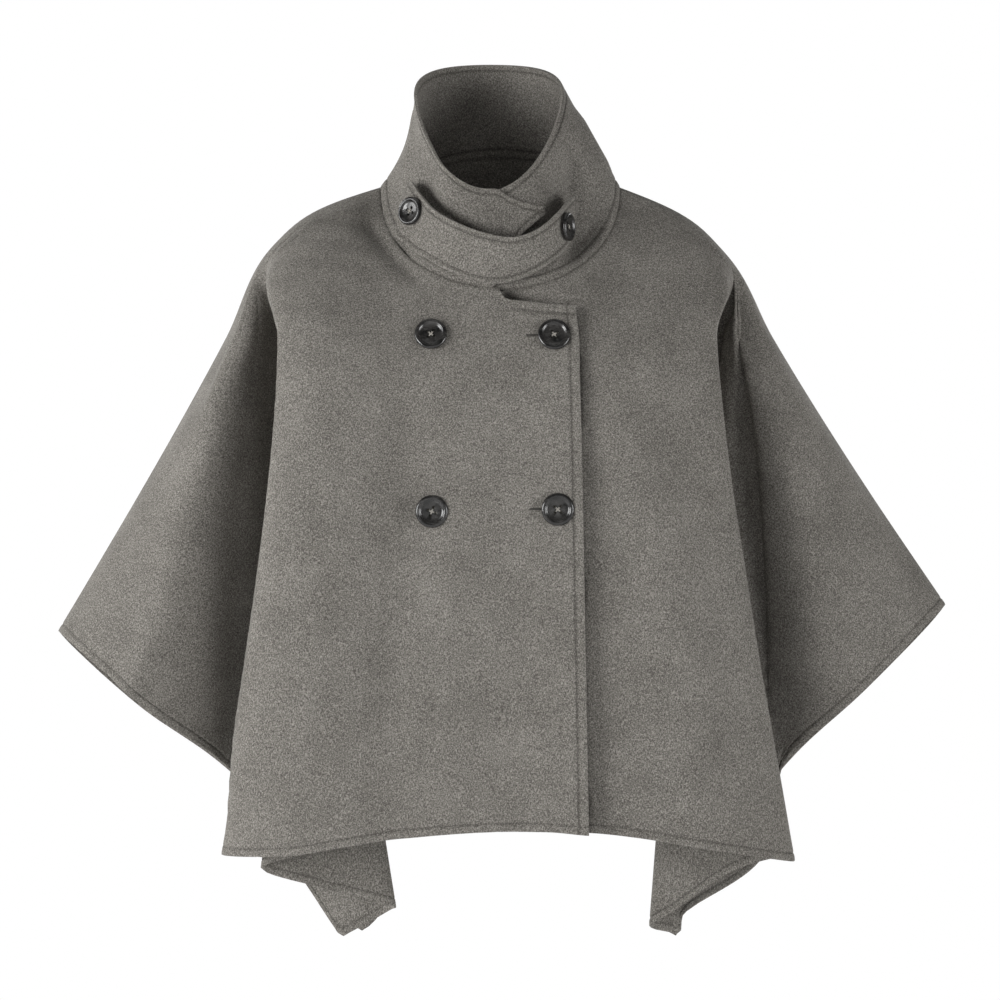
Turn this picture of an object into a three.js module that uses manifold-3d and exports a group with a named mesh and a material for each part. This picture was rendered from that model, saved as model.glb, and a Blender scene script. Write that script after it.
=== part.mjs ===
// Wool cape coat: double-breasted, with batwing sleeves, a wrapped standing collar and a throat strap.
// It keeps the hollow form of wear, open at the neck, at the hem and at both cuffs.
// Millimetres. +X is the wearer's left, the front faces -Y and +Z is up.
// The origin is midway between the shoulders, level with the sides of the neck seam.
import * as THREE from 'three';
import { mergeVertices } from 'three/addons/utils/BufferGeometryUtils.js';
import Module from 'manifold-3d';

const wasm = await Module();
wasm.setup();

// Cloth thickness and the gaps between pieces
const bodyWall = 2.5;
const collarWall = 3;
const seamGap = 0.3;
const layerGap = 0.8;
// How far the layer on top lies outside the one beneath, where the fronts and the collar's ends overlap
const layerLift = collarWall + layerGap;

// Rings round the garment, where a = 0 is the centre front and a = 90 the wearer's left:
// x = middle + side sin(a), y = centre -+ front or back cos(a), z = level at the sides,
// down by frontDrop at the centre front and up by backRise at the centre back, each with its bow
const neckRing = {
  middle: 0, side: 106, centre: -5, front: 90, back: 90, level: -1.5,
  frontDrop: 86.5, frontBow: 0.13, backRise: 28.5, backBow: -1,
};
const collarRing = {
  middle: -10, side: 65, centre: 2, front: 72, back: 73, level: 84,
  frontDrop: 87, frontBow: -0.4, backRise: 27, backBow: 0.5,
};
const shoulderRing = {
  middle: -1, side: 200, centre: 0, front: 112, back: 98, level: -55,
  frontDrop: 75, frontBow: -0.57, backRise: -8, backBow: -0.5,
};
const shoulderSquareness = 0.8;
const shoulderTilt = 3;
const yokeShare = 0.75;
const yokeRise = 9;
const yokeSharpness = 6;

// Where the rings lie on the way down: neck seam, yoke, shoulder line, bust, hem or cuff
const downKnots = [0, 0.115, 0.17, 0.36, 1];
const downSteps = [0, 0.06, 0.115, 0.142, 0.17, 0.21, 0.26, 0.31, 0.36, 0.45, 0.56, 0.67, 0.78, 0.89, 1];

// The front's lines of cloth from the neck to the hem or cuff, from the wearer's right wing tip
// to the left one. neck and shoulder are degrees round those rings; the rest is the cloth's middle.
const lineColumns = ['name', 'neck', 'shoulder', 'bustX', 'bustY', 'bustZ', 'hemX', 'hemY', 'hemZ'];
const frontLines = table(lineColumns, [
  ['right tip', -90, -90, -244, 0, -134, -399, 0, -399],
  ['right cuff end', -89.4, -89, -240, -20, -134, -385, -24, -405],
  ['right cuff upper', -88.6, -87.6, -231, -40, -134, -323, -62, -452],
  ['right cuff middle', -87.6, -86, -216, -36, -134, -241, -24, -524],
  ['right cuff lower', -86.6, -84.4, -202, -28, -134, -176, -18, -628],
  ['right corner outer', -86, -83.4, -194, -25, -134, -150, -20, -667],
  ['right corner', -85.6, -82.8, -190, -24, -134, -143, -22, -675],
  ['right corner inner', -85.2, -82.1, -187, -24.5, -134, -134, -24, -670],
  ['right inner fold back', -84.4, -81, -183, -26, -134, -99, -30, -649],
  ['right inner fold', -83.2, -79.2, -179, -33, -133, -94, -42, -643],
  ['right pleat lower', -82, -77.4, -177, -41, -133, -160, -56, -622],
  ['right pleat fold', -80.8, -75.8, -176, -50, -132, -212, -66, -602],
  ['right pleat return', -79.6, -74.4, -175, -62, -131, -146, -76, -580],
  ['right front fold back', -78, -73, -177, -75, -130, -235, -82, -582],
  ['right front fold', -76, -71, -184, -86, -130, -243, -100, -582],
  ['right side front', -66, -47, -152, -110, -143, -179, -142, -573],
  ['right front', -52, -29, -112, -123, -158, -134, -150, -564],
  ['under edge', -34, -15, -68, -126, -168, -74, -150, -555],
  ['centre front', 0, 0, 0, -128, -172, 3, -150, -550],
  ['placket edge', 34, 15, 68, -126, -168, 76, -152, -551],
  ['left front', 52, 29, 112, -122, -158, 127, -151, -557],
  ['left side front', 66, 47, 153, -108, -143, 200, -142, -571],
  ['left front fold', 76, 71, 186, -86, -130, 258, -104, -587],
  ['left front fold back', 78, 73, 180, -75, -130, 251, -84, -587],
  ['left pleat upper', 79.8, 75, 178, -62, -131, 206, -70, -604],
  ['left pleat lower', 81.4, 77, 179, -48, -132, 156, -56, -643],
  ['left inner fold', 83, 79.2, 182, -34, -133, 136, -44, -659],
  ['left inner fold back', 84.4, 81, 186, -25, -134, 141, -31, -667],
  ['left corner inner', 85.1, 82, 189, -24, -134, 151, -28, -669],
  ['left corner', 85.5, 82.6, 191, -25, -134, 161, -27, -673],
  ['left corner outer', 85.9, 83.2, 194, -29, -134, 165, -28, -655],
  ['left cuff lower', 86.4, 84, 198, -35, -134, 175, -31, -645],
  ['left cuff lower middle', 87.2, 85.4, 204, -43, -134, 236, -40, -598],
  ['left cuff middle', 88, 86.6, 214, -47, -134, 259, -46, -508],
  ['left cuff upper', 88.8, 87.8, 230, -36, -134, 328, -50, -440],
  ['left cuff end', 89.4, 89, 240, -18, -134, 388, -18, -385],
  ['left tip', 90, 90, 243, 0, -134, 402, 0, -375],
]);

// The back's lines, from the wearer's left wing tip round the centre back to the right one
const backLines = table(lineColumns, [
  ['left tip', 90, 90, 243, 0, -134, 402, 0, -375],
  ['left cuff end', 91, 91.5, 240, 15, -134, 392, 14, -393],
  ['left cuff upper', 92.4, 93.5, 230, 32, -134, 337, 40, -459],
  ['left cuff middle', 94, 96, 217, 40, -134, 265, 34, -526],
  ['left corner outer', 95.8, 98.6, 205, 38, -134, 165, 28, -663],
  ['left corner', 96.5, 99.5, 201, 36, -134, 159, 27, -678],
  ['left inner fold back', 98.5, 102.5, 195, 36, -134, 148, 34, -664],
  ['left inner fold', 100.5, 105, 189, 42, -134, 146, 46, -650],
  ['left pleat', 103, 108, 185, 52, -133, 172, 58, -614],
  ['left back fold inner', 105.5, 111, 182, 64, -132, 232, 68, -588],
  ['left back fold', 109, 115, 182, 77, -132, 240, 88, -583],
  ['left side back', 122, 131, 150, 98, -138, 186, 128, -568],
  ['left back', 146, 154, 80, 111, -146, 98, 146, -560],
  ['centre back', 180, 180, 0, 114, -148, 0, 150, -556],
  ['right back', 214, 206, -80, 111, -146, -98, 147, -561],
  ['right side back', 238, 229, -150, 98, -138, -184, 130, -570],
  ['right back fold', 251, 245, -182, 77, -132, -230, 88, -581],
  ['right back fold inner', 254.5, 249, -182, 64, -132, -222, 68, -585],
  ['right pleat', 257, 252, -185, 52, -133, -150, 58, -612],
  ['right inner fold', 259.5, 255, -189, 42, -134, -108, 46, -650],
  ['right inner fold back', 261.5, 257.5, -195, 36, -134, -108, 34, -664],
  ['right corner', 263.5, 260.5, -201, 36, -134, -129, 27, -683],
  ['right corner outer', 264.2, 261.4, -205, 38, -134, -138, 28, -671],
  ['right cuff middle', 266, 264, -217, 40, -134, -244, 34, -539],
  ['right cuff upper', 267.6, 266.5, -230, 32, -134, -333, 40, -474],
  ['right cuff end', 269, 268.5, -240, 15, -134, -389, 14, -415],
  ['right tip', 270, 270, -244, 0, -134, -399, 0, -399],
]);

// The fronts' top edges drop away from the neck seam past the centre front
const topEdgeDrop = 0.088;
// Degrees round the neck where the layer on top starts to rise, and where it is clear of the one beneath
const riseStart = -52;
const riseEnd = -34;

// The collar is one band: degrees round the neck from its under end, round the back, to its pointed flap,
// with the heights of its lower and upper edges as shares of the full height
const collarHollow = 10;
const collarRows = table(['angle', 'low', 'high'], [
  [-12, 0, 0.92],
  [6, 0, 0.99],
  [24, 0, 1],
  [180, 0, 1],
  [336, 0, 1],
  [356, 0, 1],
  [366, 0.26, 0.99],
  [374, 0.52, 0.87],
  [382, 0.535, 0.75],
  [391, 0.56, 0.635],
]);
const neckStep = 6.5;
const flapStep = 4;
const flapStart = 344;
const collarHeights = [0, 0.3, 0.65, 1];

// The throat strap on the collar, with its edges as shares of the collar's height,
// and how far its upper edge stands off
const strapRows = table(['angle', 'low', 'high', 'standOff'], [
  [-64, 0.2, 0.42, 0],
  [-61, 0.1, 0.49, 1],
  [-50, 0.07, 0.53, 5],
  [-35, 0.09, 0.535, 9],
  [-20, 0.07, 0.535, 10],
  [-5, 0.035, 0.505, 9],
  [10, 0.07, 0.45, 9],
  [22, 0.135, 0.455, 12],
  [35, 0.2, 0.5, 18],
  [45, 0.27, 0.52, 20],
  [54, 0.36, 0.49, 15],
]);
const strapGap = 0.6;
const strapSteps = 24;
const strapHeights = [0, 0.33, 0.67, 1];
// Where the strap comes down again past the flap's point
const strapFallStart = 31;
const strapFallEnd = 48;

// Buttons, with where they sit: front ones by x and z, strap ones by degrees and share of the strap's width
const frontButton = { radius: 14, thickness: 4.2, holeRadius: 1.1, holeSpacing: 2.6, sides: 16 };
const strapButton = { radius: 12.5, thickness: 4, holeRadius: 1, holeSpacing: 2.4, sides: 14 };
const frontButtons = table(['name', 'x', 'z'], [
  ['button_upper_right', -59, -128],
  ['button_upper_left', 46, -129],
  ['button_lower_right', -58, -275],
  ['button_lower_left', 49, -273],
]);
const strapButtons = table(['name', 'angle', 'share'], [
  ['strap_button_right', -52, 0.6],
  ['strap_button_left', 38.5, 0.5],
]);

// Materials
const wool = () => new THREE.MeshStandardMaterial({ color: 0x6e6a64, roughness: 0.95, metalness: 0 });
const horn = () => new THREE.MeshStandardMaterial({ color: 0x2b2826, roughness: 0.35, metalness: 0 });

// Rows as objects with the given column names
function table(columns, rows) {
  return rows.map((row) => Object.fromEntries(columns.map((column, i) => [column, row[i]])));
}

function smoothStep(from, to, value) {
  const share = THREE.MathUtils.clamp((value - from) / (to - from), 0, 1);
  return share * share * (3 - 2 * share);
}

// A smooth curve through lists of numbers at uneven knots, with free ends
class SmoothCurve {
  constructor(knots, values) {
    this.knots = knots;
    this.values = values;
    this.slopes = slopesThrough(knots, values);
  }

  at(place) {
    const last = this.knots.length - 2;
    let span = 0;
    while (span < last && place > this.knots[span + 1]) span += 1;
    const width = this.knots[span + 1] - this.knots[span];
    const u = (place - this.knots[span]) / width;
    const start = (1 + 2 * u) * (1 - u) * (1 - u);
    const startSlope = u * (1 - u) * (1 - u) * width;
    const end = u * u * (3 - 2 * u);
    const endSlope = u * u * (u - 1) * width;
    return this.values[span].map((value, k) => start * value + startSlope * this.slopes[span][k]
      + end * this.values[span + 1][k] + endSlope * this.slopes[span + 1][k]);
  }
}

function slopesThrough(knots, values) {
  const widths = knots.slice(1).map((knot, i) => knot - knots[i]);
  const chords = widths.map((width, i) => values[i].map((value, k) => (values[i + 1][k] - value) / width));
  const last = chords.length - 1;
  const slopes = values.map((value, i) => {
    const before = Math.max(i - 1, 0);
    const after = Math.min(i, last);
    const total = widths[before] + widths[after];
    return value.map((_, k) => (chords[before][k] * widths[after] + chords[after][k] * widths[before]) / total);
  });
  slopes[0] = chords[0].map((chord, k) => 1.5 * chord - 0.5 * slopes[1][k]);
  slopes[last + 1] = chords[last].map((chord, k) => 1.5 * chord - 0.5 * slopes[last][k]);
  return slopes;
}

// A point of one of the rings; squareness below 1 makes it fuller at the corners
function ringPoint(ring, degrees, squareness = 1) {
  const angle = THREE.MathUtils.degToRad(degrees);
  const across = Math.sin(angle);
  const along = Math.cos(angle);
  const full = (value) => Math.sign(value) * Math.abs(value) ** squareness;
  const bowed = (value, bow) => value * (1 + bow - bow * value);
  return new THREE.Vector3(
    ring.middle + ring.side * full(across),
    ring.centre - (along > 0 ? ring.front : ring.back) * full(along),
    along > 0 ? ring.level - ring.frontDrop * bowed(along, ring.frontBow)
      : ring.level + ring.backRise * bowed(-along, ring.backBow),
  );
}

const neckPoint = (degrees) => ringPoint(neckRing, degrees);

// The wearer's left shoulder hangs a little lower than the right
function shoulderPoint(degrees) {
  const point = ringPoint(shoulderRing, degrees, shoulderSquareness);
  point.z -= shoulderTilt * Math.sin(THREE.MathUtils.degToRad(degrees));
  return point;
}

function yokePoint(neckDegrees, shoulderDegrees) {
  const point = neckPoint(neckDegrees).lerp(shoulderPoint(shoulderDegrees), yokeShare);
  point.z += yokeRise * Math.sin(THREE.MathUtils.degToRad(shoulderDegrees)) ** yokeSharpness;
  return point;
}

// The collar's middle surface; height runs from 0 at the neck seam to 1 at the top
function collarPoint(degrees, height) {
  const point = neckPoint(degrees).lerp(ringPoint(collarRing, degrees), height);
  const rightSide = Math.max(0, -Math.sin(THREE.MathUtils.degToRad(degrees)));
  point.x += collarHollow * 4 * height * (1 - height) * rightSide;
  return point;
}

function collarNormal(degrees, height) {
  const round = collarPoint(degrees + 0.5, height).sub(collarPoint(degrees - 0.5, height));
  const up = collarPoint(degrees, height + 0.01).sub(collarPoint(degrees, height - 0.01));
  return round.cross(up).normalize();
}

// The direction that collar and body share through their thickness at the neck seam
function neckNormal(degrees) {
  const round = neckPoint(degrees + 0.5).sub(neckPoint(degrees - 0.5));
  const out = shoulderPoint(degrees).sub(neckPoint(degrees));
  return out.cross(round).normalize().add(collarNormal(degrees, 0)).normalize();
}

// Half of the body: across runs along the lines' knots, down from 0 at the neck to 1 at the hem or cuff
class Half {
  constructor(lines) {
    const hems = lines.map((line) => new THREE.Vector3(line.hemX, line.hemY, line.hemZ));
    this.knots = [0];
    hems.slice(1).forEach((hem, i) => this.knots.push(this.knots[i] + Math.sqrt(hem.distanceTo(hems[i]))));
    this.end = this.knots.at(-1);
    this.names = lines.map((line) => line.name);
    this.angles = new SmoothCurve(this.knots, lines.map((line) => [line.neck, line.shoulder]));
    this.bust = new SmoothCurve(this.knots, lines.map((line) => [line.bustX, line.bustY, line.bustZ]));
    this.hem = new SmoothCurve(this.knots, hems.map((hem) => hem.toArray()));
  }

  knotOf(name) {
    return this.knots[this.names.indexOf(name)];
  }

  neckAngle(across) {
    return this.angles.at(across)[0];
  }

  // The line of cloth at a place across, from the neck down
  line(across) {
    const [neck, shoulder] = this.angles.at(across);
    const points = [neckPoint(neck), yokePoint(neck, shoulder), shoulderPoint(shoulder)];
    return new SmoothCurve(downKnots, [
      ...points.map((point) => point.toArray()), this.bust.at(across), this.hem.at(across),
    ]);
  }

  point(across, down) {
    return new THREE.Vector3(...this.line(across).at(down));
  }

  // Unit directions at a place: along the line down, and outwards through the cloth
  directions(across, down) {
    const step = 0.002 * this.end;
    const left = this.point(Math.max(across - step, 0), down);
    const round = this.point(Math.min(across + step, this.end), down).sub(left);
    const above = this.point(across, Math.max(down - 0.002, 0));
    const along = this.point(across, Math.min(down + 0.002, 1)).sub(above).normalize();
    return { along, out: along.clone().cross(round).normalize() };
  }
}

const front = new Half(frontLines);
const back = new Half(backLines);

// How far the layer on top stands off the one beneath, from 0 to 1
const topLayerRise = (neckDegrees) => smoothStep(riseStart, riseEnd, neckDegrees);

// Half the wall along a direction that two pieces share at a seam
function seamOffset(shared, out, wall) {
  return shared.clone().multiplyScalar(wall / 2 / Math.max(0.5, shared.dot(out)));
}

// The direction that front and back share through their thickness at an overarm seam
function overarmNormal(half, across, down) {
  const other = half === front ? back : front;
  const { out } = half.directions(across, down);
  return other.directions(across === 0 ? other.end : 0, down).out.add(out).normalize();
}

// A body panel's place with its outward half thickness: { middle, half }
function bodyPlace(half, across, down, lift) {
  const { along, out } = half.directions(across, down);
  const middle = half.point(across, down);
  let shared = out;
  if (across === 0 || across === half.end) {
    shared = overarmNormal(half, across, down);
    middle.y += (half === back ? 1 : -1) * seamGap / 2;
  }
  if (down === 0) {
    shared = neckNormal(half.neckAngle(across));
    middle.addScaledVector(along, seamGap / 2);
  }
  middle.addScaledVector(shared, lift);
  return { middle, half: seamOffset(shared, out, bodyWall) };
}

// Places across a panel: each knot and the places between them, close enough to follow the neck seam
function placesAcross(half, from, to) {
  const knots = half.knots.filter((knot) => knot >= from && knot <= to);
  const places = [knots[0]];
  knots.slice(1).forEach((knot, i) => {
    const turn = half.neckAngle(knot) - half.neckAngle(knots[i]);
    const parts = Math.max(2, Math.ceil(turn / neckStep));
    for (let part = 1; part < parts; part += 1) places.push(knots[i] + (knot - knots[i]) * part / parts);
    places.push(knot);
  });
  return places;
}

// A closed wall from a grid of places, columns by rows, each row going down
function wallGeometry(columns) {
  const rows = columns[0].length;
  const outer = columns.flatMap((column) => column.map((place) => place.middle.clone().add(place.half)));
  const inner = columns.flatMap((column) => column.map((place) => place.middle.clone().sub(place.half)));
  const points = [...outer, ...inner];
  const faces = [];
  const quad = (a, b, c, d) => faces.push(a, b, c, a, c, d);
  const at = (i, j) => i * rows + j;
  const within = outer.length;
  const lastColumn = columns.length - 1;
  const lastRow = rows - 1;
  for (let i = 0; i < lastColumn; i += 1) {
    for (let j = 0; j < lastRow; j += 1) {
      const corners = [at(i, j), at(i, j + 1), at(i + 1, j + 1), at(i + 1, j)];
      quad(...corners);
      quad(...corners.reverse().map((corner) => corner + within));
    }
    quad(at(i + 1, 0), at(i + 1, 0) + within, at(i, 0) + within, at(i, 0));
    quad(at(i + 1, lastRow), at(i, lastRow), at(i, lastRow) + within, at(i + 1, lastRow) + within);
  }
  for (let j = 0; j < lastRow; j += 1) {
    quad(at(0, j + 1), at(0, j), at(0, j) + within, at(0, j + 1) + within);
    quad(at(lastColumn, j + 1), at(lastColumn, j + 1) + within, at(lastColumn, j) + within, at(lastColumn, j));
  }
  const geometry = new THREE.BufferGeometry();
  geometry.setAttribute('position', new THREE.Float32BufferAttribute(points.flatMap((p) => p.toArray()), 3));
  geometry.setIndex(faces);
  return geometry;
}

// Cloth from a stretch of a half; topEdge gives where each column starts, rise how far it is lifted
function bodyPanel(half, from, to, topEdge = () => 0, rise = () => 0) {
  return wallGeometry(placesAcross(half, from, to).map((across) => {
    const top = topEdge(across);
    const lift = rise(half.neckAngle(across)) * layerLift;
    return downSteps.map((step) => bodyPlace(half, across, top + (1 - top) * step, lift));
  }));
}

const centreFront = front.knotOf('centre front');
const placketEdge = front.knotOf('placket edge');
const underEdge = front.knotOf('under edge');
const topEdgePast = (edge) => (across) => (
  topEdgeDrop * THREE.MathUtils.clamp((across - centreFront) / (edge - centreFront), 0, 1)
);

// The collar's columns, closer together on the flap
function collarAngles() {
  const first = collarRows[0].angle;
  const flap = collarRows.at(-1).angle;
  const stretches = [first, 0, 90, 180, 270, flapStart, flap];
  return stretches.slice(1).reduce((angles, end) => {
    const start = angles.at(-1);
    const parts = Math.ceil((end - start) / (end > flapStart ? flapStep : neckStep));
    const more = Array.from({ length: parts }, (_, i) => start + (end - start) * (i + 1) / parts);
    return [...angles, ...more];
  }, [first]);
}

function collarBand() {
  const edges = new SmoothCurve(collarRows.map((row) => row.angle), collarRows.map((row) => [row.low, row.high]));
  return wallGeometry(collarAngles().map((angle) => {
    const [low, high] = edges.at(angle);
    const lift = topLayerRise(angle - 360) * layerLift;
    return [...collarHeights].reverse().map((share) => {
      const height = Math.max(low, 0) + (Math.min(high, 1) - Math.max(low, 0)) * share;
      return collarPlace(angle, height, lift);
    });
  }));
}

function collarPlace(angle, height, lift) {
  const out = collarNormal(angle, height);
  const middle = collarPoint(angle, height);
  let shared = out;
  if (height === 0) {
    shared = neckNormal(angle);
    middle.addScaledVector(collarPoint(angle, 0.01).sub(middle).normalize(), seamGap / 2);
  }
  middle.addScaledVector(shared, lift);
  return { middle, half: seamOffset(shared, out, collarWall) };
}

const strapLines = new SmoothCurve(
  strapRows.map((row) => row.angle),
  strapRows.map((row) => [row.low, row.high, row.standOff]),
);

// The strap's middle surface; share runs from 0 at its lower edge to 1 at its upper one
function strapPoint(angle, share) {
  const [low, high, standOff] = strapLines.at(angle);
  const overFlap = topLayerRise(angle) * (1 - smoothStep(strapFallStart, strapFallEnd, angle));
  const lift = overFlap * layerLift + collarWall / 2 + strapGap + bodyWall / 2;
  const [lower, upper] = [[low, lift], [high, lift + standOff]].map(([height, away]) => (
    collarPoint(angle, height).addScaledVector(collarNormal(angle, height), away)
  ));
  return lower.lerp(upper, share);
}

function strapPlace(angle, share) {
  const round = strapPoint(angle + 0.5, share).sub(strapPoint(angle - 0.5, share));
  const up = strapPoint(angle, 1).sub(strapPoint(angle, 0));
  return { middle: strapPoint(angle, share), half: round.cross(up).setLength(bodyWall / 2) };
}

function strapColumns() {
  const first = strapRows[0].angle;
  const last = strapRows.at(-1).angle;
  return Array.from({ length: strapSteps + 1 }, (_, i) => {
    const angle = first + (last - first) * i / strapSteps;
    return [...strapHeights].reverse().map((share) => strapPlace(angle, share));
  });
}

const strapOuterPoints = () => strapColumns().flat().map((place) => place.middle.clone().add(place.half));

// Geometry to a solid and back, for cutting the buttons' holes
function toSolid(geometry) {
  const bare = geometry.clone();
  bare.deleteAttribute('normal');
  bare.deleteAttribute('uv');
  const merged = mergeVertices(bare, 1e-4);
  return new wasm.Manifold(new wasm.Mesh({
    numProp: 3,
    vertProperties: new Float32Array(merged.attributes.position.array),
    triVerts: new Uint32Array(merged.index.array),
  }));
}

function fromSolid(solid) {
  const mesh = solid.getMesh();
  const geometry = new THREE.BufferGeometry();
  geometry.setAttribute('position', new THREE.BufferAttribute(mesh.vertProperties, 3));
  geometry.setIndex(new THREE.BufferAttribute(mesh.triVerts, 1));
  return geometry;
}

// A four-hole button with a raised rim, its flat back at z = 0
function buttonGeometry({ radius, thickness, holeRadius, holeSpacing, sides }) {
  const profile = [
    [0, 0], [0.82 * radius, 0], [radius, 0.4 * thickness], [0.94 * radius, 0.9 * thickness],
    [0.84 * radius, thickness], [0.66 * radius, 0.68 * thickness], [0, 0.6 * thickness],
  ];
  const disc = new THREE.LatheGeometry(profile.map(([x, y]) => new THREE.Vector2(x, y)), sides);
  let solid = toSolid(disc.rotateX(Math.PI / 2));
  for (const [x, y] of [[1, 1], [-1, 1], [-1, -1], [1, -1]]) {
    const hole = new THREE.CylinderGeometry(holeRadius, holeRadius, 3 * thickness, 6).rotateX(Math.PI / 2);
    solid = solid.subtract(toSolid(hole.translate(x * holeSpacing, y * holeSpacing, 0)));
  }
  return fromSolid(solid);
}

// The place across and down on the front where the cloth has the given x and z
function frontPlaceAt(x, z) {
  let across = centreFront;
  let down = 0.4;
  for (let turn = 0; turn < 20; turn += 1) {
    const here = front.point(across, down);
    const byAcross = front.point(across + 0.01, down).sub(here).divideScalar(0.01);
    const byDown = front.point(across, down + 0.001).sub(here).divideScalar(0.001);
    const size = byAcross.x * byDown.z - byAcross.z * byDown.x;
    const missX = x - here.x;
    const missZ = z - here.z;
    across += (missX * byDown.z - missZ * byDown.x) / size;
    down += (missZ * byAcross.x - missX * byAcross.z) / size;
  }
  return { across, down };
}

const coat = new THREE.Group();

function addPiece(name, geometry, material) {
  const mesh = new THREE.Mesh(geometry, material);
  mesh.name = name;
  coat.add(mesh);
  return mesh;
}

// A button on the cloth at a point, facing outwards, clear of the highest of the cloth's points near it
function addButton(name, sizes, point, out, nearby = []) {
  const mesh = addPiece(name, buttonGeometry(sizes), horn());
  const heights = nearby.map((place) => place.clone().sub(point))
    .filter((away) => away.length() < 1.1 * sizes.radius)
    .map((away) => away.dot(out));
  mesh.position.copy(point).addScaledVector(out, seamGap + Math.max(0, ...heights));
  mesh.quaternion.setFromUnitVectors(new THREE.Vector3(0, 0, 1), out);
}

addPiece('front_right', bodyPanel(front, 0, placketEdge, topEdgePast(placketEdge), topLayerRise), wool());
addPiece('front_left', bodyPanel(front, underEdge, front.end, topEdgePast(underEdge)), wool());
addPiece('back', bodyPanel(back, 0, back.end), wool());
addPiece('collar', collarBand(), wool());
addPiece('collar_strap', wallGeometry(strapColumns()), wool());

for (const { name, x, z } of frontButtons) {
  const { across, down } = frontPlaceAt(x, z);
  const { out } = front.directions(across, down);
  const lift = topLayerRise(front.neckAngle(across)) * layerLift + bodyWall / 2;
  addButton(name, frontButton, front.point(across, down).addScaledVector(out, lift), out);
}

for (const { name, angle, share } of strapButtons) {
  const { middle, half } = strapPlace(angle, share);
  addButton(name, strapButton, middle.add(half), half.clone().normalize(), strapOuterPoints());
}

export default coat;
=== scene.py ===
import math
import bmesh
import bpy
import numpy as np
from mathutils import Matrix, Vector


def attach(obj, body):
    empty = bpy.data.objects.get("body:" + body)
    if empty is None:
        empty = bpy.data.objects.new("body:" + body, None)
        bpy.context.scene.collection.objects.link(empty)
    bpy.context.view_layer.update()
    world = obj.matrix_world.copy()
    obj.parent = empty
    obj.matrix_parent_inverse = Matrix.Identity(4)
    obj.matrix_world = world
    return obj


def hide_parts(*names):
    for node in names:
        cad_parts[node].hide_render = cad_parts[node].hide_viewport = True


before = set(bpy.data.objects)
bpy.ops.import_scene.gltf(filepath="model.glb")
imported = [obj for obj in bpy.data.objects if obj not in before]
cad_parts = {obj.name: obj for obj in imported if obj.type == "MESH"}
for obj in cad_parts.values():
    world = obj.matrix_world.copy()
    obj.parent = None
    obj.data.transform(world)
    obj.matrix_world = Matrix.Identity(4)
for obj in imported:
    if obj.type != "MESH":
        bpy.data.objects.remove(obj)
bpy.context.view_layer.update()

# Wool cape coat: sewn cloth, topstitching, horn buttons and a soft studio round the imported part.
# Lengths are millimetres until a mesh is written, and mm turns them into metres.
mm = 0.001

# Rings round the garment: a = 0 is the centre front and a = 90 the wearer's left
neckRing = {"middle": 0, "side": 106, "centre": -5, "front": 90, "back": 90, "level": -1.5,
            "frontDrop": 86.5, "frontBow": 0.13, "backRise": 28.5, "backBow": -1}
collarRing = {"middle": -10, "side": 65, "centre": 2, "front": 72, "back": 73, "level": 84,
              "frontDrop": 87, "frontBow": -0.4, "backRise": 27, "backBow": 0.5}
shoulderRing = {"middle": -1, "side": 200, "centre": 0, "front": 112, "back": 98, "level": -55,
                "frontDrop": 75, "frontBow": -0.57, "backRise": -8, "backBow": -0.5}
yoke = {"squareness": 0.8, "tilt": 3, "share": 0.75, "rise": 9, "sharpness": 6}
downKnots = [0, 0.115, 0.17, 0.36, 1]

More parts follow.
